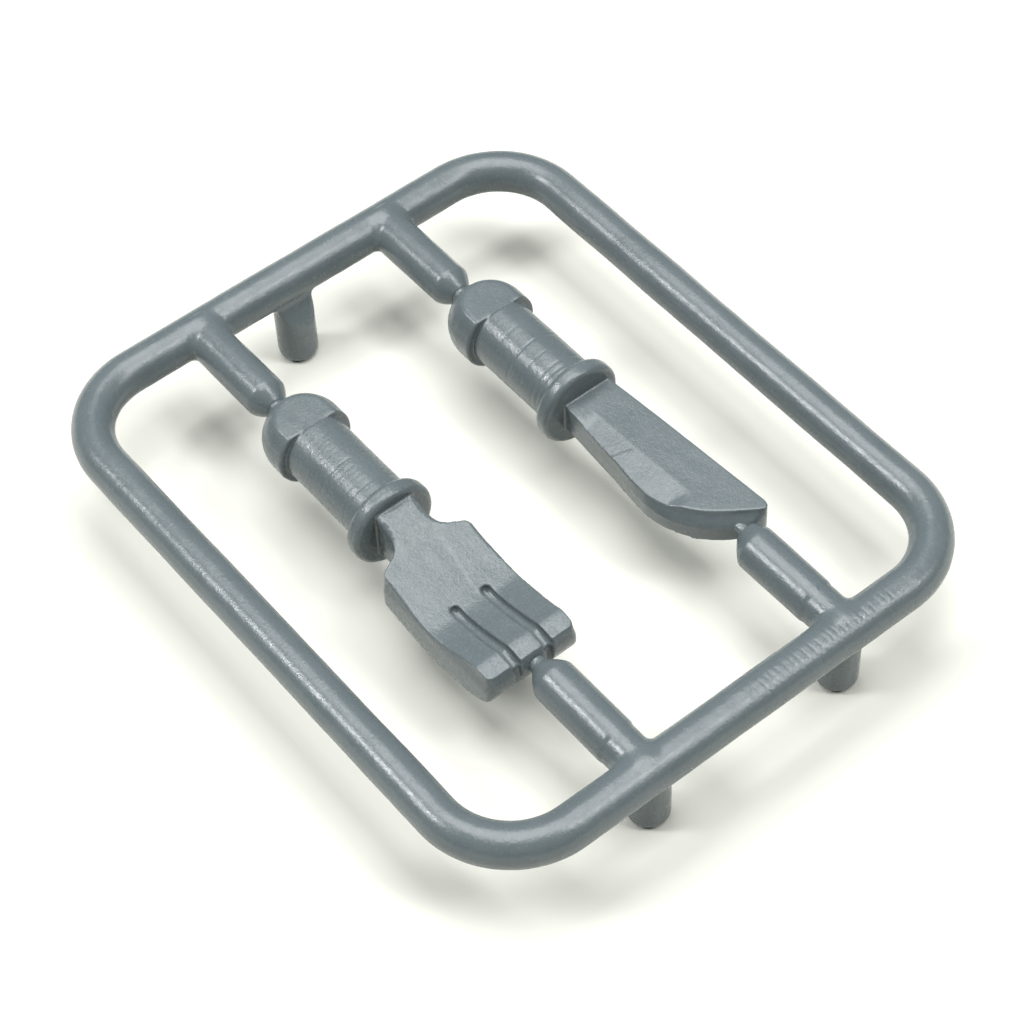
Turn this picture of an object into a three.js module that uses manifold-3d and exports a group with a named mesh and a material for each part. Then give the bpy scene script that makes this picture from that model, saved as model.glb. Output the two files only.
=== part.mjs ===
// A moulded plastic sprue that carries a toy fork and a toy knife.
// A round runner bends into a rounded rectangle and stands level on three posts.
// Four arms reach inwards from it, and a thin gate joins each arm to one end of a utensil.
// Millimetres. X runs from the fork to the knife, Y from the blades to the pommels, Z up.
// The origin is on the floor, under the middle of the runner.
import * as THREE from "three";
import { mergeVertices } from "three/addons/utils/BufferGeometryUtils.js";
import Module from "manifold-3d";

const wasm = await Module();
wasm.setup();

// Runner: the centreline of a round bar, bent into a rounded rectangle.
const RUNNER_RADIUS = 0.98;
const RUNNER_HALF_WIDTH = 12.85;
const RUNNER_HALF_LENGTH = 15.6;
const BEND_RADIUS = 3.85;
const RUNNER_HEIGHT = 4.3; // of the centreline above the floor

// Posts that the sprue stands on, set a little inside the runner's centreline.
const POST_RADIUS = 0.95;
const POST_EDGE = 0.45; // radius of the rounded edge round the sole
const POST_SLOPE = 62; // of the slanting top of a post's inner side, in degrees
const POSTS = [
  { x: -0.5, y: 15.05 },
  { x: -4.54, y: -15.02 },
  { x: 6.02, y: -15.02 },
];

// Utensils. The grip fits the round hand of a toy figure.
const FORK_X = -5.24;
const KNIFE_X = 5.19;
const GRIP_RADIUS = 1.6;
const COLLAR_Y = 1.3;
const COLLAR_RADIUS = 2.09;
const COLLAR_HALF_THICKNESS = 0.43;
const POMMEL_RADIUS = 1.94;
const POMMEL_SHOULDER_Y = 6.65;
const POMMEL_DOME_Y = 7.4; // centre of the round end
const POMMEL_FLAT_Z = 1.49;
const GATE_LAND = 0.55; // radius of the small flat where a gate meets the round end

// Fork: a neck under the collar, then a head that dips like a spoon.
// Two grooves part its front into three tines, and run out down the end face as notches.
const NECK_HALF_WIDTH = 1.0;
const WAIST_Y = -0.6;
const SHOULDER_Y = -1.25;
const HEAD_HALF_WIDTH = 2.3;
const TINE_FACET_Y = -7.65; // where the level facet at a tine's tip begins
const TINE_TIP_Y = -8.35;
const FORK_END_Y = -8.6;
const FORK_TOP = { collar: 1.45, shoulder: 0.72, dip: 0.08, tip: 0.78 };
const FORK_BOTTOM = { collar: -1.15, shoulder: -1.15, dip: -1.98, tip: -1.12 };
const GROOVE_WIDTH = 0.43;
const GROOVE_DEPTH = 0.34;
const GROOVE_OFFSET = 0.83;
const GROOVE_START_Y = -4.15;
const NOTCH_DEPTH = 0.22; // of a groove's run-out down the end face

// Knife: a plate with a straight spine, and an edge that bellies out and sweeps to the tip.
const BLADE_HALF_THICKNESS = 0.78;
const BLADE_ROOT_Y = COLLAR_Y;
const SPINE_ROOT_X = 6.72;
const BLADE_TIP = { x: 7.42, y: -9.08 };
const EDGE_ROOT_X = 4.2;
const BELLY = { x: 3.85, y: -4.9 };
const EDGE_SLOPE = 0.42; // how far the edge stands out from the top face along the sweep
const BEVEL_RIDGE_X = 5.02;
const BEVEL_DROP = 0.14;
const BEVEL_END_Y = -6.5;

// Arms: each ends in a cone and a gate, nearly on its utensil's line. Side: +1 back, -1 front.
// An arm runs straight to its shoulder, then narrows to its neck, where the gate of its own radius starts.
const GATE_CLEARANCE = 0.02;
const ARMS = [
  {
    gate: "gate_fork_pommel",
    utensil: "fork",
    side: 1,
    arm: { x: FORK_X, radius: 1.0, shoulder: 10.4 },
    neck: { x: FORK_X, radius: 0.48, end: 9.55 },
    radius: 0.48,
  },
  {
    gate: "gate_fork_tip",
    utensil: "fork",
    side: -1,
    arm: { x: -5.15, radius: 1.03, shoulder: 9.72 },
    neck: { x: -5.16, radius: 0.42, end: 8.82 },
    radius: 0.42,
  },
  {
    gate: "gate_knife_pommel",
    utensil: "knife",
    side: 1,
    arm: { x: KNIFE_X, radius: 1.0, shoulder: 10.4 },
    neck: { x: KNIFE_X, radius: 0.48, end: 9.55 },
    radius: 0.48,
  },
  {
    gate: "gate_knife_tip",
    utensil: "knife",
    side: -1,
    arm: { x: 5.74, radius: 1.02, shoulder: 9.98 },
    neck: { x: 5.98, radius: 0.56, end: 9.15 },
    radius: 0.28,
  },
];

const ROUND = 24; // sides of a round bar
const BEND_STEPS = 8;
const ARC_STEPS = 6;

// A closed three.js geometry as a manifold-3d solid.
function solid(geometry) {
  const plain = geometry.clone();
  plain.deleteAttribute("normal");
  plain.deleteAttribute("uv");
  const merged = mergeVertices(plain, 1e-4);
  return new wasm.Manifold(
    new wasm.Mesh({
      numProp: 3,
      vertProperties: merged.attributes.position.array,
      triVerts: new Uint32Array(merged.index.array),
    }),
  );
}

// A manifold-3d solid as a three.js geometry with flat faces.
function geometryOf(body) {
  const mesh = body.getMesh();
  const geometry = new THREE.BufferGeometry();
  geometry.setAttribute("position", new THREE.BufferAttribute(mesh.vertProperties, 3));
  geometry.setIndex(new THREE.BufferAttribute(mesh.triVerts, 1));
  const faceted = geometry.toNonIndexed();
  faceted.computeVertexNormals();
  return faceted;
}

function join(bodies) {
  return bodies.reduce((whole, body) => whole.add(body));
}

// Points of an arc about (cx, cy), in degrees, both ends included.
function arc(cx, cy, radius, from, to, steps = ARC_STEPS) {
  return Array.from({ length: steps + 1 }, (_, i) => {
    const angle = THREE.MathUtils.degToRad(from + ((to - from) * i) / steps);
    return new THREE.Vector2(cx + radius * Math.cos(angle), cy + radius * Math.sin(angle));
  });
}

function point(x, y) {
  return new THREE.Vector2(x, y);
}

// A solid turned about a line along Y: the profile holds (radius, y) points from low y to high y.
function turned(profile, x = 0) {
  return solid(new THREE.LatheGeometry(profile, ROUND).translate(x, 0, 0));
}

// A plate of an outline in X and Y, from one height to another.
function plate(outline, bottom, top) {
  const shape = new THREE.Shape(outline);
  const geometry = new THREE.ExtrudeGeometry(shape, { depth: top - bottom, bevelEnabled: false });
  return solid(geometry.translate(0, 0, bottom));
}

// A beam of an outline in Y and Z, between two places in X.
function beam(outline, left, right) {
  const shape = new THREE.Shape(outline);
  const geometry = new THREE.ExtrudeGeometry(shape, { depth: right - left, bevelEnabled: false });
  geometry.rotateZ(Math.PI / 2).rotateY(Math.PI / 2);
  return solid(geometry.translate(left, 0, 0));
}

function box(sizeX, sizeY, sizeZ, x, y, z) {
  return solid(new THREE.BoxGeometry(sizeX, sizeY, sizeZ).translate(x, y, z));
}

// A straight stretch of the runner along X or Y.
function runnerBar(length, alongX, x, y) {
  const geometry = new THREE.CylinderGeometry(RUNNER_RADIUS, RUNNER_RADIUS, length, ROUND);
  if (alongX) geometry.rotateZ(Math.PI / 2);
  return solid(geometry.translate(x, y, 0));
}

// One corner of the runner: the quarter of a torus that lies outwards from the bend's centre.
function runnerBend(signX, signY) {
  const x = signX * (RUNNER_HALF_WIDTH - BEND_RADIUS);
  const y = signY * (RUNNER_HALF_LENGTH - BEND_RADIUS);
  const torus = new THREE.TorusGeometry(BEND_RADIUS, RUNNER_RADIUS, ROUND, 4 * BEND_STEPS);
  const reach = 2 * BEND_RADIUS;
  const quarter = box(reach, reach, reach, x + (signX * reach) / 2, y + (signY * reach) / 2, 0);
  return solid(torus.translate(x, y, 0)).intersect(quarter);
}

function runner() {
  const signs = [-1, 1];
  const overlap = 0.01;
  const lengthX = 2 * (RUNNER_HALF_WIDTH - BEND_RADIUS) + overlap;
  const lengthY = 2 * (RUNNER_HALF_LENGTH - BEND_RADIUS) + overlap;
  return join([
    ...signs.map((s) => runnerBar(lengthX, true, 0, s * RUNNER_HALF_LENGTH)),
    ...signs.map((s) => runnerBar(lengthY, false, s * RUNNER_HALF_WIDTH, 0)),
    ...signs.flatMap((sx) => signs.map((sy) => runnerBend(sx, sy))),
  ]);
}

// A rod along Y between two distances out to one side.
function rod({ x, radius }, side, from, to) {
  const length = to - from;
  const geometry = new THREE.CylinderGeometry(radius, radius, length, ROUND);
  return solid(geometry.translate(x, (side * (from + to)) / 2, 0));
}

// An arm from the middle of the runner bar inwards, with a blunt cone down to its neck.
function armAndCone({ arm, neck, side }) {
  const disc = 0.02;
  const cone = wasm.Manifold.hull([
    rod({ x: neck.x, radius: neck.radius }, side, neck.end, neck.end + disc),
    rod({ x: arm.x, radius: arm.radius - 0.06 }, side, arm.shoulder - 0.12, arm.shoulder),
    rod(arm, side, arm.shoulder, arm.shoulder + disc),
  ]);
  return cone.add(rod(arm, side, arm.shoulder, RUNNER_HALF_LENGTH));
}

// A post from inside the runner down to its flat sole on the floor.
// Its inner side slopes from the runner's flank, so that no shelf shows from above.
function post({ x, y }) {
  const floor = -RUNNER_HEIGHT;
  const profile = [
    point(0, floor),
    ...arc(POST_RADIUS - POST_EDGE, floor + POST_EDGE, POST_EDGE, -90, 0, 4),
    point(POST_RADIUS, -0.35 * RUNNER_RADIUS),
    point(0, -0.35 * RUNNER_RADIUS),
  ];
  const upright = solid(new THREE.LatheGeometry(profile, ROUND).rotateX(Math.PI / 2));
  const outward = Math.sign(y);
  const flank = RUNNER_HALF_LENGTH - 0.8 * RUNNER_RADIUS - Math.abs(y);
  const slope = THREE.MathUtils.degToRad(POST_SLOPE);
  const normal = [0, outward * Math.sin(slope), -Math.cos(slope)];
  const offset = flank * Math.sin(slope) + 0.58 * RUNNER_RADIUS * Math.cos(slope);
  return upright.trimByPlane(normal, offset).translate([x, y, 0]);
}

function sprueFrame() {
  return join([runner(), ...ARMS.map(armAndCone), ...POSTS.map(post)]);
}

// Collar, grip and pommel: one turned shape, with a flat cut across the top of the pommel.
function handle(x) {
  const beadCentre = COLLAR_RADIUS - COLLAR_HALF_THICKNESS;
  const landAngle = THREE.MathUtils.radToDeg(Math.acos(GATE_LAND / POMMEL_RADIUS));
  const dome = arc(0, POMMEL_DOME_Y, POMMEL_RADIUS, 0, landAngle);
  const turnedShape = turned(
    [
      point(0, COLLAR_Y - COLLAR_HALF_THICKNESS),
      ...arc(beadCentre, COLLAR_Y, COLLAR_HALF_THICKNESS, -90, 90),
      point(GRIP_RADIUS, COLLAR_Y + COLLAR_HALF_THICKNESS),
      point(GRIP_RADIUS, POMMEL_SHOULDER_Y),
      point(POMMEL_RADIUS, POMMEL_SHOULDER_Y),
      ...dome,
      point(0, dome.at(-1).y),
    ],
    x,
  );
  const reach = 2 * POMMEL_RADIUS;
  const above = box(reach, reach, reach, x, POMMEL_SHOULDER_Y + reach / 2, POMMEL_FLAT_Z + reach / 2);
  return turnedShape.subtract(above);
}

// The fork's neck and head from above, about its own line.
function forkPlan() {
  const right = [
    point(NECK_HALF_WIDTH, COLLAR_Y),
    point(NECK_HALF_WIDTH, 0),
    point(NECK_HALF_WIDTH + 0.12, WAIST_Y),
    point(NECK_HALF_WIDTH + 0.45, SHOULDER_Y + 0.38),
    point(HEAD_HALF_WIDTH - 0.08, SHOULDER_Y + 0.02),
    point(HEAD_HALF_WIDTH, SHOULDER_Y - 0.12),
    point(HEAD_HALF_WIDTH, FORK_END_Y + 0.35),
    point(HEAD_HALF_WIDTH - 0.1, FORK_END_Y),
  ];
  const left = right.map(({ x, y }) => point(-x, y)).reverse();
  return [...right, ...left].map(({ x, y }) => point(x + FORK_X, y));
}

// Heights along the head: an even dip between the shoulder and the tip.
function dipped(heights, from, to, steps = 10) {
  return Array.from({ length: steps + 1 }, (_, i) => {
    const t = i / steps;
    const ends = THREE.MathUtils.lerp(heights.shoulder, heights.tip, t);
    const depth = (heights.shoulder + heights.tip) / 2 - heights.dip;
    return point(THREE.MathUtils.lerp(from, to, t), ends - depth * 4 * t * (1 - t));
  });
}

// The fork's neck and head from the side, in Y and Z, with a round end.
function forkSide() {
  const top = dipped(FORK_TOP, SHOULDER_Y, TINE_FACET_Y);
  const bottom = dipped(FORK_BOTTOM, SHOULDER_Y, TINE_TIP_Y + 0.2).reverse();
  return [
    point(COLLAR_Y, FORK_TOP.collar),
    ...top,
    point(TINE_TIP_Y, FORK_TOP.tip),
    point(FORK_END_Y + 0.1, 0.48),
    point(FORK_END_Y, 0.1),
    point(FORK_END_Y + 0.02, -0.3),
    point(FORK_END_Y + 0.14, -0.68),
    point(FORK_END_Y + 0.3, -0.94),
    ...bottom,
    point(COLLAR_Y, FORK_BOTTOM.collar),
  ];
}

// A groove between two tines, with a round start. The head itself, set lower and further back, is its floor.
function groove(x, head) {
  const half = GROOVE_WIDTH / 2;
  const start = arc(x, GROOVE_START_Y - half, half, 0, 180);
  const open = FORK_END_Y - 1;
  const channel = plate([point(x + half, open), ...start, point(x - half, open)], -3, 3);
  return channel.subtract(head.translate([0, NOTCH_DEPTH, -GROOVE_DEPTH]));
}

function fork() {
  const head = plate(forkPlan(), -3, 3).intersect(beam(forkSide(), FORK_X - 3, FORK_X + 3));
  const grooves = [-1, 1].map((s) => groove(FORK_X + s * GROOVE_OFFSET, head));
  return handle(FORK_X).add(grooves.reduce((rest, cut) => rest.subtract(cut), head));
}

// The blade from above. The sweep towards the tip can stand out by a margin.
function bladePlan(margin) {
  const sweep = new THREE.CubicBezierCurve(
    point(BELLY.x, BELLY.y),
    point(BELLY.x + 0.05, BELLY.y - 1.9 - margin),
    point(BELLY.x + 1.3, -8.0 - 1.5 * margin),
    point(BLADE_TIP.x - 0.4, BLADE_TIP.y - 0.1 * margin),
  );
  return [
    point(SPINE_ROOT_X, BLADE_ROOT_Y),
    point(EDGE_ROOT_X, BLADE_ROOT_Y),
    ...sweep.getPoints(12),
    point(BLADE_TIP.x - 0.14, BLADE_TIP.y + 0.03),
    point(BLADE_TIP.x - 0.03, BLADE_TIP.y + 0.15),
    point(BLADE_TIP.x, BLADE_TIP.y + 0.34),
  ];
}

// A solid between outlines of the same number of points, each at its own height, lowest first.
function loft(levels) {
  const count = levels[0].outline.length;
  const positions = levels.flatMap(({ outline, z }) => outline.flatMap(({ x, y }) => [x, y, z]));
  const cap = THREE.ShapeUtils.triangulateShape(levels[0].outline, []);
  const topStart = (levels.length - 1) * count;
  const index = [];
  for (const [a, b, c] of cap) {
    index.push(a, c, b);
    index.push(topStart + a, topStart + b, topStart + c);
  }
  for (let level = 0; level < levels.length - 1; level++) {
    for (let i = 0; i < count; i++) {
      const a = level * count + i;
      const b = level * count + ((i + 1) % count);
      index.push(a, b, a + count, b, b + count, a + count);
    }
  }
  const geometry = new THREE.BufferGeometry();
  geometry.setAttribute("position", new THREE.Float32BufferAttribute(positions, 3));
  geometry.setIndex(index);
  return solid(geometry);
}

function blade() {
  const low = bladePlan(EDGE_SLOPE);
  const body = loft([
    { outline: low, z: -BLADE_HALF_THICKNESS },
    { outline: low, z: 0 },
    { outline: bladePlan(0), z: BLADE_HALF_THICKNESS },
  ]);
  const bevel = new THREE.Shape([
    point(BEVEL_RIDGE_X, BLADE_HALF_THICKNESS),
    point(BELLY.x - 1, BLADE_HALF_THICKNESS + 1),
    point(BELLY.x - 1, BLADE_HALF_THICKNESS - 2 * BEVEL_DROP),
  ]);
  const cut = new THREE.ExtrudeGeometry(bevel, { depth: -BEVEL_END_Y, bevelEnabled: false });
  return body.subtract(solid(cut.rotateX(Math.PI / 2)));
}

function knife() {
  return handle(KNIFE_X).add(blade());
}

// A gate: a short neck between an arm and its utensil, clear of both by a hair.
function gate({ neck, side, radius }, utensil) {
  const outer = neck.end - GATE_CLEARANCE;
  const whole = rod({ x: neck.x, radius }, side, outer - 2, outer);
  return whole.subtract(utensil.translate([0, side * GATE_CLEARANCE, 0]));
}

const plastic = { color: 0x7d878b, roughness: 0.42, metalness: 0 };

function piece(name, body) {
  const mesh = new THREE.Mesh(geometryOf(body), new THREE.MeshStandardMaterial(plastic));
  mesh.name = name;
  return mesh;
}

function sprue() {
  const utensils = { fork: fork(), knife: knife() };
  const group = new THREE.Group();
  group.position.z = RUNNER_HEIGHT;
  group.add(piece("sprue_frame", sprueFrame()));
  for (const [name, body] of Object.entries(utensils)) group.add(piece(name, body));
  for (const details of ARMS) group.add(piece(details.gate, gate(details, utensils[details.utensil])));
  return group;
}

export default sprue();
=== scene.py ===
"""A moulded plastic sprue with a toy fork and a toy knife, in grey satin plastic on a white table.

Each piece starts as a copy of its CAD node. The copy is remeshed finely, and its points are then moved
onto a smooth surface: the zero level of a field, made of rounded bars, plates and cuts joined with fillets.
Fields work in millimetres, with z measured from the middle of the runner bar.
"""

import math
from collections import namedtuple

import bmesh
import bpy
import numpy as np
from mathutils import Matrix, Vector


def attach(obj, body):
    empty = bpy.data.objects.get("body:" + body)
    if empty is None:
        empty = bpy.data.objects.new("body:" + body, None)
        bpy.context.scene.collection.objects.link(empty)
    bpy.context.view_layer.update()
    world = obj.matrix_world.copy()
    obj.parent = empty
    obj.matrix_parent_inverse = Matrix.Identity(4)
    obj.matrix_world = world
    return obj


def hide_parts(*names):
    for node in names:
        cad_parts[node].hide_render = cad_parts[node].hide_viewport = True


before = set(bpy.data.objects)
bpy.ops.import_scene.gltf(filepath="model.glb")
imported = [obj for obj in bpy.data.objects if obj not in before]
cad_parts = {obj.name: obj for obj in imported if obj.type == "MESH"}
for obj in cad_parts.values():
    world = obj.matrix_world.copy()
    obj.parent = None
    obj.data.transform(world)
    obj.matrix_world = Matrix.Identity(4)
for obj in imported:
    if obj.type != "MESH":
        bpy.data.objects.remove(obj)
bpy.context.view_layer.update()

MM = 0.001
AXIS_Z = 4.3  # height of the runner bar's middle above the table

# The camera, which looks down at the sprue from the front left.
CAMERA_AZIMUTH = -36.54
CAMERA_ELEVATION = 51.92
CAMERA_ROLL = -2.97
CAMERA_DISTANCE = 121.1
CAMERA_LENS = 98.86
CAMERA_AIM = (-0.94, -1.76, AXIS_Z)

# The studio, in metres.
FLOOR_HALF_SIZE = 0.6
PANEL_HEIGHT = 0.5

# The runner: a round bar bent into a rounded rectangle, on three posts.
RUNNER_RADIUS = 0.98
RUNNER_HALF_WIDTH = 12.85
RUNNER_HALF_LENGTH = 15.6
BEND_RADIUS = 3.85
POST_RADIUS = 0.95
POST_EDGE = 0.45
POST_SLOPE = math.radians(62)
POSTS = [(-0.5, 15.05), (-4.54, -15.02), (6.02, -15.02)]
ARM_FILLET = 0.28
ARM_STEP_Y = 13.7
ARM_STEP_DEPTH = 0.045
POST_FILLET = 0.25

# The utensils. Along y, a utensil runs from its pommel at the back to its tines or tip at the front.
FORK_X = -5.24
KNIFE_X = 5.19
GRIP_RADIUS = 1.6
COLLAR_Y = 1.3
COLLAR_RADIUS = 2.09
COLLAR_HALF_THICKNESS = 0.43
COLLAR_EDGE = 0.3
POMMEL_RADIUS = 1.94
POMMEL_SHOULDER_Y = 6.65
POMMEL_DOME_Y = 7.4
POMMEL_FLAT_Z = 1.49
POMMEL_END_Y = 9.26
GRIP_END_Y = 8.0  # inside the pommel
HANDLE_FILLET = 0.1
FORK_END_Y = -8.6
BLADE_END_Y = -9.1
BLADE_HALF_THICKNESS = 0.78

# An arm reaches from the runner towards a utensil and narrows in a cone, from its shoulder to its end. Its
# side is +1 at the back and -1 in front; shoulder, end and stop, where the utensil begins, are along y.
Arm = namedtuple("Arm", "gate side x radius shoulder neck_x neck_radius end gate_radius stop roundness")
ARMS = [
    Arm("gate_fork_pommel", 1, FORK_X, 1.0, 10.42, FORK_X, 0.48, 9.55, 0.48, POMMEL_END_Y, 1.35),
    Arm("gate_fork_tip", -1, -5.15, 1.03, 9.74, -5.16, 0.42, 8.82, 0.42, -FORK_END_Y, 1.3),
    Arm("gate_knife_pommel", 1, KNIFE_X, 1.0, 10.42, KNIFE_X, 0.48, 9.55, 0.48, POMMEL_END_Y, 1.35),
    Arm("gate_knife_tip", -1, 5.74, 1.02, 10.0, 5.98, 0.56, 9.15, 0.28, 8.55, 1.35),
]


# ---------------------------------------------------------------- fields


def cut(a, b, r):
    """Where both fields are inside, with the edge between them rounded to r."""
    inner = np.minimum(np.maximum(a + r, b + r), 0)
    return inner + np.hypot(np.maximum(a + r, 0), np.maximum(b + r, 0)) - r


def fuse(a, b, r):
    """Where either field is inside, with a fillet of r between them."""
    return -cut(-a, -b, r)


def step(value, low, high):
    """0 below low, 1 above high, smooth between."""
    t = np.clip((value - low) / (high - low), 0, 1)
    return t * t * (3 - 2 * t)


def bump_at(value, centre, width):
    """A ridge of height 1 at the centre."""
    return np.exp(-(((value - centre) / width) ** 2))


def smooth_curve(points):
    """A smooth function through (position, value) points that doesn't overshoot them."""
    at, value = np.array(sorted(points), float).T
    gap = np.diff(at)
    slope = np.diff(value) / gap
    rate = np.empty_like(value)
    rate[0], rate[-1] = slope[0], slope[-1]
    left, right = slope[:-1], slope[1:]
    same = left * right > 0
    total = np.where(same, left + right, 1)
    rate[1:-1] = np.where(same, 2 * left * right / total, 0)

    def read(where):
        q = np.clip(where, at[0], at[-1])
        i = np.clip(np.searchsorted(at, q) - 1, 0, len(gap) - 1)
        t, h = (q - at[i]) / gap[i], gap[i]
        start = (1 + 2 * t) * (1 - t) ** 2 * value[i] + t * (1 - t) ** 2 * h * rate[i]
        end = t * t * (3 - 2 * t) * value[i + 1] + t * t * (t - 1) * h * rate[i + 1]
        return start + end

    return read


def waves(seed, wavelength, count=14):
    """Slow unevenness: a sum of sine waves in random directions, from about -1 to 1."""
    rng = np.random.RandomState(seed)
    direction = rng.normal(size=(count, 3))
    direction /= np.linalg.norm(direction, axis=1)[:, None]
    k = direction * (2 * math.pi / (wavelength * rng.uniform(0.7, 1.5, (count, 1))))
    phase = rng.uniform(0, 2 * math.pi, count)
    return lambda p: np.sin(p @ k.T + phase).sum(1) * math.sqrt(2 / count) * 0.5


slow_waves = waves(3, 5.0)
quick_waves = waves(8, 1.1)


def uneven(p, slow, quick):
    """The skin's departure from a true surface, given the heights of its long and short waves."""
    return slow * slow_waves(p) + quick * quick_waves(p)


def runner_field(p):
    x, y, z = p.T
    qx = np.abs(x) - (RUNNER_HALF_WIDTH - BEND_RADIUS)
    qy = np.abs(y) - (RUNNER_HALF_LENGTH - BEND_RADIUS)
    outside = np.hypot(np.maximum(qx, 0), np.maximum(qy, 0))
    plan = outside + np.minimum(np.maximum(qx, qy), 0) - BEND_RADIUS
    return np.hypot(plan, z) - RUNNER_RADIUS


def arm_field(p, arm):
    x, y, z = p.T
    out = arm.side * y
    u = np.clip((out - arm.end) / (arm.shoulder - arm.end), 0, 1)
    centre = arm.neck_x + (arm.x - arm.neck_x) * u
    wall = arm.neck_radius + (arm.radius - arm.neck_radius) * (1 - (1 - u) ** arm.roundness)
    if arm.side < 0:
        # A front arm has a small slanting step, beyond which it is a little thinner.
        slant = out + 0.12 * (x - arm.x)
        wall = wall - ARM_STEP_DEPTH * step(slant, ARM_STEP_Y - 0.04, ARM_STEP_Y + 0.04)
    ends = np.maximum(arm.end - out, out - RUNNER_HALF_LENGTH)
    return cut(np.hypot(x - centre, z) - wall, ends, 0.06)


def post_field(p, place):
    x, y, z = p.T
    wall = np.hypot(x - place[0], y - place[1]) - POST_RADIUS
    ends = np.maximum(-AXIS_Z - z, z + 0.3)
    # The foot's edge is round; the top is hidden in the runner.
    upright = cut(wall, ends, np.where(z < -1, POST_EDGE, 0.02))
    # The inner side slants down from the runner's flank.
    inward = RUNNER_HALF_LENGTH - 0.8 * RUNNER_RADIUS - y * np.sign(place[1])
    slant = inward * math.sin(POST_SLOPE) + (z + 0.58 * RUNNER_RADIUS) * math.cos(POST_SLOPE)
    return cut(upright, slant, 0.15)


FRONT_BAR_Y = -14.4
CHATTER_START_X = -1.9
CHATTER_END_X = 8.6
CHATTER_DEPTH = 0.011


def chatter(p):
    """Fine cross marks that the moulding tool left along the top of the front bar."""
    x, y, z = p.T
    along = x + 0.15 * (y + RUNNER_HALF_LENGTH)
    marks = np.zeros_like(x)
    rng = np.random.RandomState(21)
    place = CHATTER_START_X
    while place < CHATTER_END_X:
        width = rng.uniform(0.025, 0.045)
        depth = rng.uniform(0.4, 1.0)
        marks += depth * bump_at(along, place, width)
        place += rng.uniform(0.22, 0.42)
    # The marks fade in from the left, end at the right, and stay on the bar's upper side.
    strength = step(x, -1.6, 2.4) * (1 - step(x, 7.6, CHATTER_END_X)) * step(z, 0.1, 0.6)
    return marks * strength * (y < FRONT_BAR_Y)


def frame_field(p):
    f = runner_field(p)
    for arm in ARMS:
        f = fuse(f, arm_field(p, arm), ARM_FILLET)
    for place in POSTS:
        f = fuse(f, post_field(p, place), POST_FILLET)
    # The soles stay flat.
    return f + uneven(p, 0.012, 0.004) * step(p[:, 2], -4.2, -3.6) + CHATTER_DEPTH * chatter(p)


def handle_field(p, centre, rings):
    """Grip, pommel and collar. Each ring cut round the grip is its place, depth and width."""
    x, y, z = p.T
    rho = np.hypot(x - centre, z)
    grooves = sum(depth * bump_at(y + 0.03 * (x - centre), at, width) for at, depth, width in rings)
    grip = cut(rho - GRIP_RADIUS + grooves, np.maximum(COLLAR_Y - y, y - GRIP_END_Y), 0.02)
    round_end = np.hypot(rho, np.maximum(y - POMMEL_DOME_Y, 0)) - POMMEL_RADIUS
    pommel = cut(round_end, POMMEL_SHOULDER_Y - y, 0.1)
    pommel = cut(pommel, y - POMMEL_END_Y, 0.03)
    f = fuse(grip, pommel, 0.06)
    # The flat on top of the pommel, which stops at its shoulder.
    top = z - POMMEL_FLAT_Z - 0.5 * (1 - step(y, POMMEL_SHOULDER_Y - 0.12, POMMEL_SHOULDER_Y - 0.02))
    f = cut(f, top, 0.085)
    outward = np.maximum(rho - COLLAR_RADIUS + COLLAR_EDGE, 0)
    aside = np.maximum(np.abs(y - COLLAR_Y) - COLLAR_HALF_THICKNESS + COLLAR_EDGE, 0)
    collar = np.hypot(outward, aside) - COLLAR_EDGE
    return fuse(f, collar, 0.08)


# Half the fork's width, and the heights of its upper and lower faces, along it.
fork_half_width = smooth_curve(
    [(1.4, 1.0), (0.2, 0.98), (-0.3, 1.03), (-0.6, 1.15), (-0.88, 1.42), (-1.1, 1.85), (-1.28, 2.2)]
    + [(-1.5, 2.31), (-2.6, 2.3), (-7.6, 2.3), (-8.2, 2.28), (-8.62, 2.18)]
)
fork_top = smooth_curve(
    [(1.4, 1.47), (0.6, 1.43), (-0.2, 1.2), (-0.7, 0.98), (-1.3, 0.72), (-2.3, 0.46), (-3.3, 0.21)]
    + [(-4.1, 0.1), (-4.6, 0.08), (-5.3, 0.16), (-6.3, 0.4), (-7.0, 0.6), (-7.6, 0.79), (-8.8, 0.8)]
)
fork_bottom = smooth_curve(
    [(1.4, -1.15), (-0.8, -1.12), (-1.3, -1.18), (-2.4, -1.6), (-3.6, -1.88), (-4.7, -1.97)]
    + [(-5.9, -1.85), (-7.1, -1.55), (-7.8, -1.28), (-8.4, -0.9), (-8.62, -0.5)]
)
# The two grooves between the tines: their distance from the fork's middle, their round inner end, and size.
GROOVES = (-0.83, 0.83)
GROOVE_START_Y = -4.34
GROOVE_NOTCH_Y = -8.5
GROOVE_HALF_WIDTH = 0.235
GROOVE_DEPTH = 0.34
FORK_RINGS = [(2.3 + 0.27 * i, 0.0015 + 0.0015 * (i * 7 % 4), 0.035) for i in range(15)]
FORK_RINGS += [(2.45, 0.016, 0.04), (4.1, 0.018, 0.04)]


def groove_field(p, across, top):
    """A round-bottomed channel sunk into the fork's upper face, which runs out down the end face."""
    y, z = p[:, 1], p[:, 2]
    beside = np.hypot(across, np.maximum(y - GROOVE_START_Y, 0))
    depth = GROOVE_DEPTH * (1 + 0.25 * step(-y, 7.0, 8.4))
    sunk = np.hypot(beside, np.minimum(z - (top - depth + GROOVE_HALF_WIDTH), 0)) - GROOVE_HALF_WIDTH
    notch = np.hypot(across, np.maximum(y - GROOVE_NOTCH_Y, 0))
    return np.minimum(sunk, notch - 0.8 * GROOVE_HALF_WIDTH)


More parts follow.
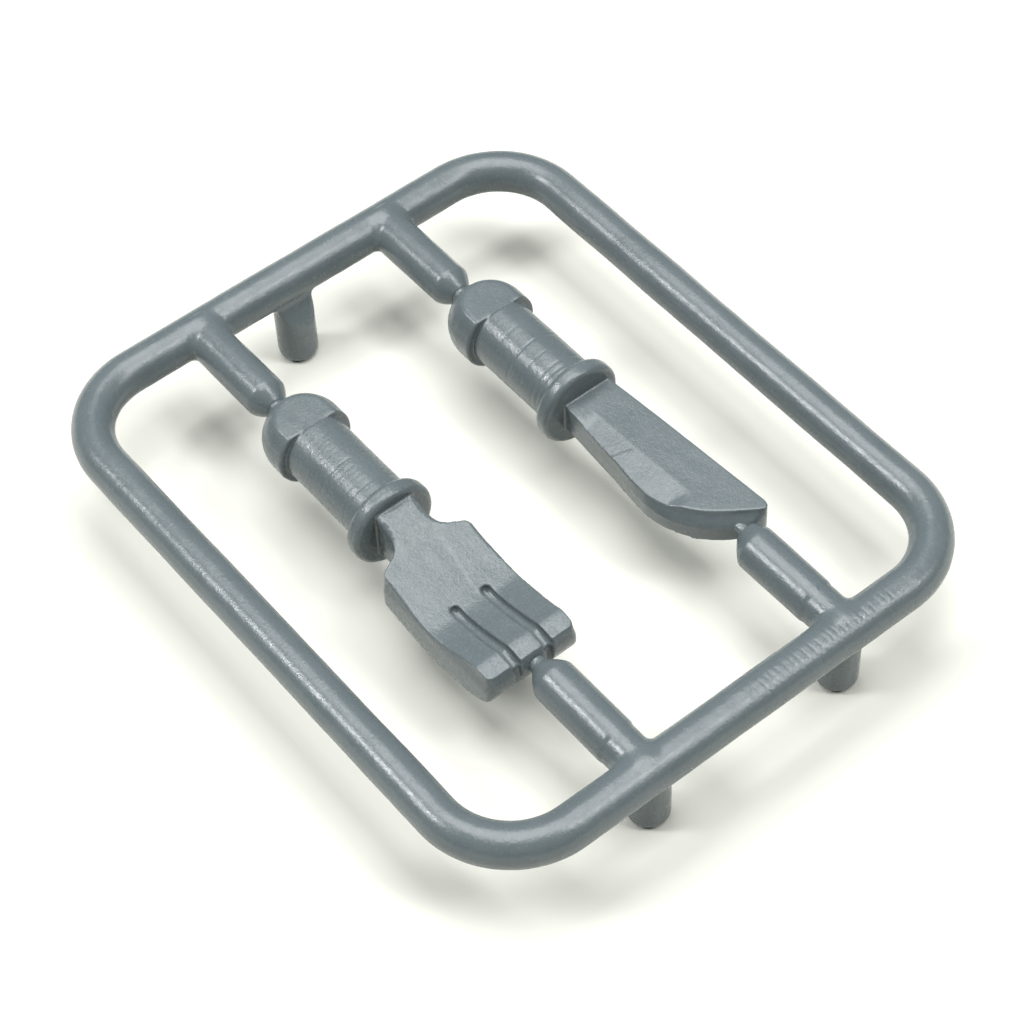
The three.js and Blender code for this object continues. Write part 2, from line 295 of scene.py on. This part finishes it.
def fork_field(p):
    x, y, z = p.T
    across = x - FORK_X
    # The side walls lean out below the upper face, and back in further down.
    draft = 0.13 * step(-z, -0.6, 0.3) - 0.1 * step(-z, 1.0, 2.0)
    sides = np.abs(across) - fork_half_width(y) - draft * step(-y, 1.0, 1.5)
    # The faint fold that runs down the bowl, and the slightly higher face right of it.
    fold = 0.84 + 0.137 * (y + 1.36)
    right = step(across - fold, -0.02, 0.02) * step(-y, 1.2, 1.6) * (1 - step(-y, 3.9, 4.6))
    # Each tine's top slopes down to the end face.
    facet = 0.12 * step(-y, 7.66, 8.5)
    top = fork_top(y) - facet
    upper = z - top - 0.035 * right
    # The end face is rounded, more above its middle than below.
    front = FORK_END_Y + 0.42 * np.maximum(z, 0) ** 2 + 0.12 * np.maximum(-z, 0) ** 2 - y
    under = cut(fork_bottom(y) - z, front, 0.3)
    head = cut(cut(sides, under, 0.22), upper, 0.045)
    head = np.maximum(head, y - COLLAR_Y)
    for offset in GROOVES:
        head = cut(head, -groove_field(p, across - offset, top), 0.07)
    f = fuse(handle_field(p, FORK_X, FORK_RINGS), head, HANDLE_FILLET)
    return f + uneven(p, 0.01, 0.006)


# The blade's edge and spine, how far the edge stands out below its upper face, and where its bevel starts.
blade_edge = smooth_curve(
    [(1.5, 4.22), (0.44, 4.17), (-1.0, 4.06), (-2.64, 3.94), (-4.2, 3.82), (-5.0, 3.82), (-5.6, 3.93)]
    + [(-6.2, 4.13), (-6.8, 4.47), (-7.4, 4.93), (-8.0, 5.6), (-8.5, 6.27), (-9.0, 6.98), (-9.3, 7.42)]
)
blade_spine = smooth_curve(
    [(1.5, 6.68), (0.48, 6.75), (-1.97, 6.93), (-4.34, 7.09), (-7.04, 7.26), (-9.2, 7.4)]
)
edge_margin = smooth_curve(
    [(1.5, 0), (-3.0, 0), (-4.6, 0.1), (-6.0, 0.26), (-7.2, 0.36), (-8.4, 0.43), (-9.3, 0.44)]
)
bevel_ridge = smooth_curve([(0.6, 5.0), (-2.0, 5.02), (-4.5, 5.12), (-6.6, 5.2)])
KNIFE_RINGS = [(4.18, 0.024, 0.04), (2.5, 0.02, 0.04), (2.16, 0.018, 0.05), (3.35, 0.006, 0.05)]
KNIFE_RINGS += [(5.3, 0.006, 0.06)]


def blade_plan_field(p):
    """The blade's outline, with side walls that lean outwards below and a fine parting line on the edge."""
    x, y, z = p.T
    margin = edge_margin(y)
    flare = margin * (1 - 0.9 * step(z, 0.0, BLADE_HALF_THICKNESS)) + 0.014 * bump_at(z, 0.02, 0.05)
    # Distances are measured square to the edge, which curves away from the y direction.
    slope = np.sqrt(1 + np.clip((blade_edge(y + 0.1) - blade_edge(y - 0.1)) / 0.2, -1.6, 0) ** 2)
    edge = (blade_edge(y) - flare * slope - x) / slope
    spine = x - blade_spine(y) - 0.05 * (1 - step(z, -0.2, BLADE_HALF_THICKNESS))
    plan = cut(cut(edge, spine, 0.22), BLADE_END_Y - y, 0.16)
    # The tip's corner is cut off by a slanting plane.
    return cut(plan, 0.75 * x - 0.66 * y - 11.42, 0.2)


def blade_top_field(p):
    """The blade's upper face: flat along the spine, with a bevel and a low step towards the edge."""
    x, y, z = p.T
    inward = np.clip((bevel_ridge(y) - x) / 1.15, 0, 1.2)
    bevel = 0.15 * inward * step(-y, 0.1, 0.7) * (1 - step(-y, 6.1, 6.75))
    behind = step(y + 2.63 + 0.38 * (x - 4.12), -0.02, 0.02) * (y > -3.4)
    ledge = 0.012 * behind * step(5.0 - x, 0, 0.2) * step(-y, -0.2, 0.5)
    return z - BLADE_HALF_THICKNESS + bevel + ledge


def knife_field(p):
    blade = cut(blade_plan_field(p), blade_top_field(p), 0.06)
    blade = cut(blade, -BLADE_HALF_THICKNESS - p[:, 2], 0.07)
    blade = np.maximum(blade, p[:, 1] - COLLAR_Y)
    f = fuse(handle_field(p, KNIFE_X, KNIFE_RINGS), blade, HANDLE_FILLET)
    return f + uneven(p, 0.008, 0.004)


# ---------------------------------------------------------------- meshes

# The size of the meshes' faces.
RUNNER_VOXEL = 0.105
UTENSIL_VOXEL = 0.055


def gradient(field, p, h=0.004):
    """The field's slope along each axis."""
    g = np.empty_like(p)
    for axis in range(3):
        shift = np.zeros(3)
        shift[axis] = h
        g[:, axis] = (field(p + shift) - field(p - shift)) / (2 * h)
    return g


def settle(field, p, rounds, longest=0.12):
    """Moves points onto the field's zero level, each time by no more than the longest move."""
    for _ in range(rounds):
        g = gradient(field, p)
        steepness = np.maximum((g * g).sum(1), 0.05)
        move = (field(p) / steepness)[:, None] * g
        size = np.linalg.norm(move, axis=1)[:, None]
        p = p - move * np.minimum(1, longest / np.maximum(size, 1e-9))
    return p


def remeshed(node, voxel):
    """A CAD node as an even mesh of small faces, in millimetres from the runner's middle."""
    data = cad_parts[node].data.copy()
    data.transform(Matrix.Scale(1 / MM, 4))
    data.transform(Matrix.Translation((0, 0, -AXIS_Z)))
    source = bpy.data.objects.new("remesh_source", data)
    bpy.context.scene.collection.objects.link(source)
    modifier = source.modifiers.new("even", "REMESH")
    modifier.mode = "VOXEL"
    modifier.voxel_size = voxel
    depsgraph = bpy.context.evaluated_depsgraph_get()
    mesh = bpy.data.meshes.new_from_object(source.evaluated_get(depsgraph))
    bpy.data.objects.remove(source)
    bpy.data.meshes.remove(data)
    return mesh


def refine(mesh, wanted):
    """Halves the faces whose middles are in the wanted region."""
    bm = bmesh.new()
    bm.from_mesh(mesh)
    middles = np.array([f.calc_center_median() for f in bm.faces])
    chosen = wanted(middles)
    edges = {e for f, c in zip(bm.faces, chosen) if c for e in f.edges}
    bmesh.ops.subdivide_edges(bm, edges=list(edges), cuts=1, use_grid_fill=True)
    bmesh.ops.triangulate(bm, faces=[f for f in bm.faces if len(f.verts) > 4])
    bm.to_mesh(mesh)
    bm.free()


def coordinates(mesh):
    p = np.empty(len(mesh.vertices) * 3)
    mesh.vertices.foreach_get("co", p)
    return p.reshape(-1, 3)


def relax(mesh, p, share=0.5):
    """Moves each point towards the middle of its neighbours."""
    ends = np.empty(len(mesh.edges) * 2, int)
    mesh.edges.foreach_get("vertices", ends)
    a, b = ends.reshape(-1, 2).T
    total = np.zeros_like(p)
    count = np.zeros(len(p))
    for here, there in ((a, b), (b, a)):
        np.add.at(total, here, p[there])
        np.add.at(count, here, 1)
    return p + share * (total / np.maximum(count, 1)[:, None] - p)


def sculpted(name, node, field, voxel, fine_region=None):
    """A piece with the field's smooth surface, on a mesh with faces about a voxel across."""
    mesh = remeshed(node, voxel)
    if fine_region:
        refine(mesh, fine_region)
    p = settle(field, coordinates(mesh), 4)
    for _ in range(3):
        p = settle(field, relax(mesh, p), 2)
    p = settle(field, p, 2)
    p = (p + (0, 0, AXIS_Z)) * MM
    # Nothing goes below the table.
    p[:, 2] = np.maximum(p[:, 2], 0)
    mesh.vertices.foreach_set("co", p.ravel())
    mesh.polygons.foreach_set("use_smooth", [True] * len(mesh.polygons))
    mesh.update()
    return new_piece(name, mesh)


def new_piece(name, mesh):
    mesh.name = name
    piece = bpy.data.objects.new(name, mesh)
    bpy.context.scene.collection.objects.link(piece)
    return piece


def gate_mesh(arm):
    """A short round neck that starts inside the arm's cone and ends just inside the utensil."""
    start, stop = arm.end + 0.05, arm.stop - 0.03
    sides, rings = 48, 10
    bm = bmesh.new()
    loops = []
    for i in range(rings + 1):
        t = i / rings
        # The neck is a little thinner and less even in the middle than at its ends.
        middle = math.sin(math.pi * t)
        waist = arm.gate_radius * (1 - 0.06 * middle)
        y = arm.side * (start + (stop - start) * t)
        loop = []
        for j in range(sides):
            a = 2 * math.pi * j / sides
            r = waist * (1 + 0.015 * math.sin(3 * a + i) * middle)
            place = Vector((arm.neck_x + r * math.cos(a), y, AXIS_Z + r * math.sin(a)))
            loop.append(bm.verts.new(place * MM))
        loops.append(loop)
    for low, high in zip(loops, loops[1:]):
        for j in range(sides):
            k = (j + 1) % sides
            bm.faces.new((low[j], low[k], high[k], high[j])).smooth = True
    for loop in (loops[0], loops[-1]):
        bm.faces.new(loop)
    bmesh.ops.recalc_face_normals(bm, faces=bm.faces)
    mesh = bpy.data.meshes.new("gate")
    bm.to_mesh(mesh)
    bm.free()
    return mesh


# ---------------------------------------------------------------- materials


class Nodes:
    """Short calls for building a material's node tree."""

    def __init__(self, name):
        self.material = bpy.data.materials.new(name)
        self.material.use_nodes = True
        self.tree = self.material.node_tree
        self.tree.nodes.clear()
        self.place = self.add("ShaderNodeTexCoord").outputs["Object"]

    def add(self, kind, **settings):
        node = self.tree.nodes.new(kind)
        for key, value in settings.items():
            setattr(node, key, value)
        return node

    def set(self, socket, value):
        if isinstance(value, bpy.types.NodeSocket):
            self.tree.links.new(value, socket)
        else:
            socket.default_value = value

    def math(self, operation, a, b):
        node = self.add("ShaderNodeMath", operation=operation)
        self.set(node.inputs[0], a)
        self.set(node.inputs[1], b)
        return node.outputs[0]

    def noise(self, per_mm, detail, roughness):
        node = self.add("ShaderNodeTexNoise")
        self.set(node.inputs["Vector"], self.place)
        node.inputs["Scale"].default_value = per_mm / MM
        node.inputs["Detail"].default_value = detail
        node.inputs["Roughness"].default_value = roughness
        return node.outputs["Fac"]

    def ramp(self, value, low, high, out_low=0.0, out_high=1.0):
        node = self.add("ShaderNodeMapRange")
        self.set(node.inputs["Value"], value)
        limits = {"From Min": low, "From Max": high, "To Min": out_low, "To Max": out_high}
        for name, number in limits.items():
            node.inputs[name].default_value = number
        return node.outputs[0]

    def mix(self, factor, a, b):
        node = self.add("ShaderNodeMix", data_type="RGBA")
        self.set(node.inputs["Factor"], factor)
        self.set(node.inputs[6], a)
        self.set(node.inputs[7], b)
        return node.outputs[2]


# The plastic's colours, and the height of its finest relief.
PLASTIC = (0.112, 0.138, 0.147, 1)
PLASTIC_LIGHT = (0.136, 0.163, 0.172, 1)
PLASTIC_DARK = (0.092, 0.116, 0.124, 1)
SCUFF = (0.28, 0.31, 0.32, 1)
RELIEF = 0.026


def plastic(name, roughness, grain, speckle):
    """Grey moulded plastic: cloudy colour, fine grain, pale scuffs, and small dents in a satin skin."""
    n = Nodes(name)
    cloud = n.noise(0.5, 4, 0.6)
    fine = n.noise(9, 3, 0.6)
    colour = n.mix(n.ramp(cloud, 0.3, 0.7), PLASTIC_DARK, PLASTIC_LIGHT)
    colour = n.mix(0.62, colour, PLASTIC)
    colour = n.mix(n.ramp(fine, 0.52, 0.75, 0, speckle), colour, SCUFF)
    shine = n.math("ADD", n.ramp(n.noise(3, 3, 0.6), 0.3, 0.7, -0.07, 0.07), roughness)
    bsdf = n.add("ShaderNodeBsdfPrincipled")
    n.set(bsdf.inputs["Base Color"], colour)
    n.set(bsdf.inputs["Roughness"], shine)
    bsdf.inputs["IOR"].default_value = 1.5
    height = n.math("ADD", n.math("MULTIPLY", n.noise(5, 2, 0.5), 0.9), n.noise(13, 2, 0.6))
    bump = n.add("ShaderNodeBump")
    bump.inputs["Strength"].default_value = grain
    bump.inputs["Distance"].default_value = RELIEF * MM
    n.set(bump.inputs["Height"], height)
    n.set(bsdf.inputs["Normal"], bump.outputs[0])
    output = n.add("ShaderNodeOutputMaterial")
    n.set(output.inputs[0], bsdf.outputs[0])
    return n.material


def floor_material():
    n = Nodes("white_table")
    bsdf = n.add("ShaderNodeBsdfPrincipled")
    bsdf.inputs["Base Color"].default_value = (0.77, 0.775, 0.71, 1)
    bsdf.inputs["Roughness"].default_value = 0.7
    bsdf.inputs["Specular IOR Level"].default_value = 0.2
    output = n.add("ShaderNodeOutputMaterial")
    n.set(output.inputs[0], bsdf.outputs[0])
    return n.material


# ---------------------------------------------------------------- camera, floor and light


def direction(azimuth, elevation):
    """Unit vector from the object towards a place seen at this azimuth and elevation."""
    a, e = math.radians(azimuth), math.radians(elevation)
    return Vector((math.sin(a) * math.cos(e), -math.cos(a) * math.cos(e), math.sin(e)))


def look(obj, place, target, roll=0.0):
    aim = (target - place).to_track_quat("-Z", "Y").to_matrix().to_4x4()
    obj.matrix_world = Matrix.Translation(place) @ aim @ Matrix.Rotation(math.radians(roll), 4, "Z")


def make_camera():
    camera = bpy.data.objects.new("camera", bpy.data.cameras.new("camera"))
    camera.data.lens = CAMERA_LENS
    camera.data.sensor_width = 36
    camera.data.clip_start = 0.005
    camera.data.clip_end = 5
    bpy.context.scene.collection.objects.link(camera)
    aim = Vector(CAMERA_AIM) * MM
    place = aim + direction(CAMERA_AZIMUTH, CAMERA_ELEVATION) * CAMERA_DISTANCE * MM
    look(camera, place, aim, CAMERA_ROLL)
    bpy.context.scene.camera = camera


def make_floor():
    mesh = bpy.data.meshes.new("table")
    half = FLOOR_HALF_SIZE
    corners = [(-half, -half, 0), (half, -half, 0), (half, half, 0), (-half, half, 0)]
    mesh.from_pydata(corners, [], [(0, 1, 2, 3)])
    mesh.materials.append(floor_material())
    floor = bpy.data.objects.new("table", mesh)
    bpy.context.scene.collection.objects.link(floor)


def make_softbox(name, left, right, front, back, radiance):
    """A level panel overhead, given by its edges as slopes: sideways distance over height."""
    light = bpy.data.lights.new(name, "AREA")
    light.shape = "RECTANGLE"
    light.size = (right - left) * PANEL_HEIGHT
    light.size_y = (back - front) * PANEL_HEIGHT
    light.energy = radiance * math.pi * light.size * light.size_y
    lamp = bpy.data.objects.new(name, light)
    middle = Vector(((left + right) / 2, (front + back) / 2, 1))
    lamp.location = middle * PANEL_HEIGHT
    bpy.context.scene.collection.objects.link(lamp)


def light_studio():
    make_softbox("overhead", -0.33, 0.45, -0.28, 0.62, 6.4)
    make_softbox("back_left", -1.05, -0.6, 0.46, 0.74, 33.0)
    make_softbox("front_right", 0.24, 0.5, -0.72, -0.3, 14.0)
    make_softbox("front_far", 0.55, 1.0, -1.1, -0.75, 12.0)


# ---------------------------------------------------------------- the object


def front_bar(p):
    """The stretch of the runner that has the chatter marks, which need finer faces."""
    x, y, z = p.T
    beside = (x > CHATTER_START_X - 0.3) & (x < CHATTER_END_X + 0.4)
    return beside & (y < FRONT_BAR_Y + 0.2) & (z > -0.1)


def place_piece(piece, body, material, *nodes):
    """Gives a piece its material and body, and lets it stand for its CAD nodes."""
    piece.data.materials.clear()
    piece.data.materials.append(material)
    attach(piece, body)
    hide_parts(*nodes)


def main():
    make_camera()
    make_floor()
    light_studio()
    bpy.context.scene.view_settings.view_transform = "Standard"
    smooth = plastic("grey_plastic", roughness=0.23, grain=0.36, speckle=0.1)
    speckled = plastic("grey_plastic_worn", roughness=0.26, grain=0.45, speckle=0.28)
    runner = sculpted("moulded_runner", "sprue_frame", frame_field, RUNNER_VOXEL, front_bar)
    place_piece(runner, "sprue", smooth, "sprue_frame")
    fork = sculpted("toy_fork", "fork", fork_field, UTENSIL_VOXEL)
    place_piece(fork, "fork", speckled, "fork")
    knife = sculpted("toy_knife", "knife", knife_field, UTENSIL_VOXEL)
    place_piece(knife, "knife", smooth, "knife")
    for arm in ARMS:
        neck = new_piece(arm.gate.replace("gate", "break_off_neck"), gate_mesh(arm))
        place_piece(neck, "sprue", smooth, arm.gate)


main()
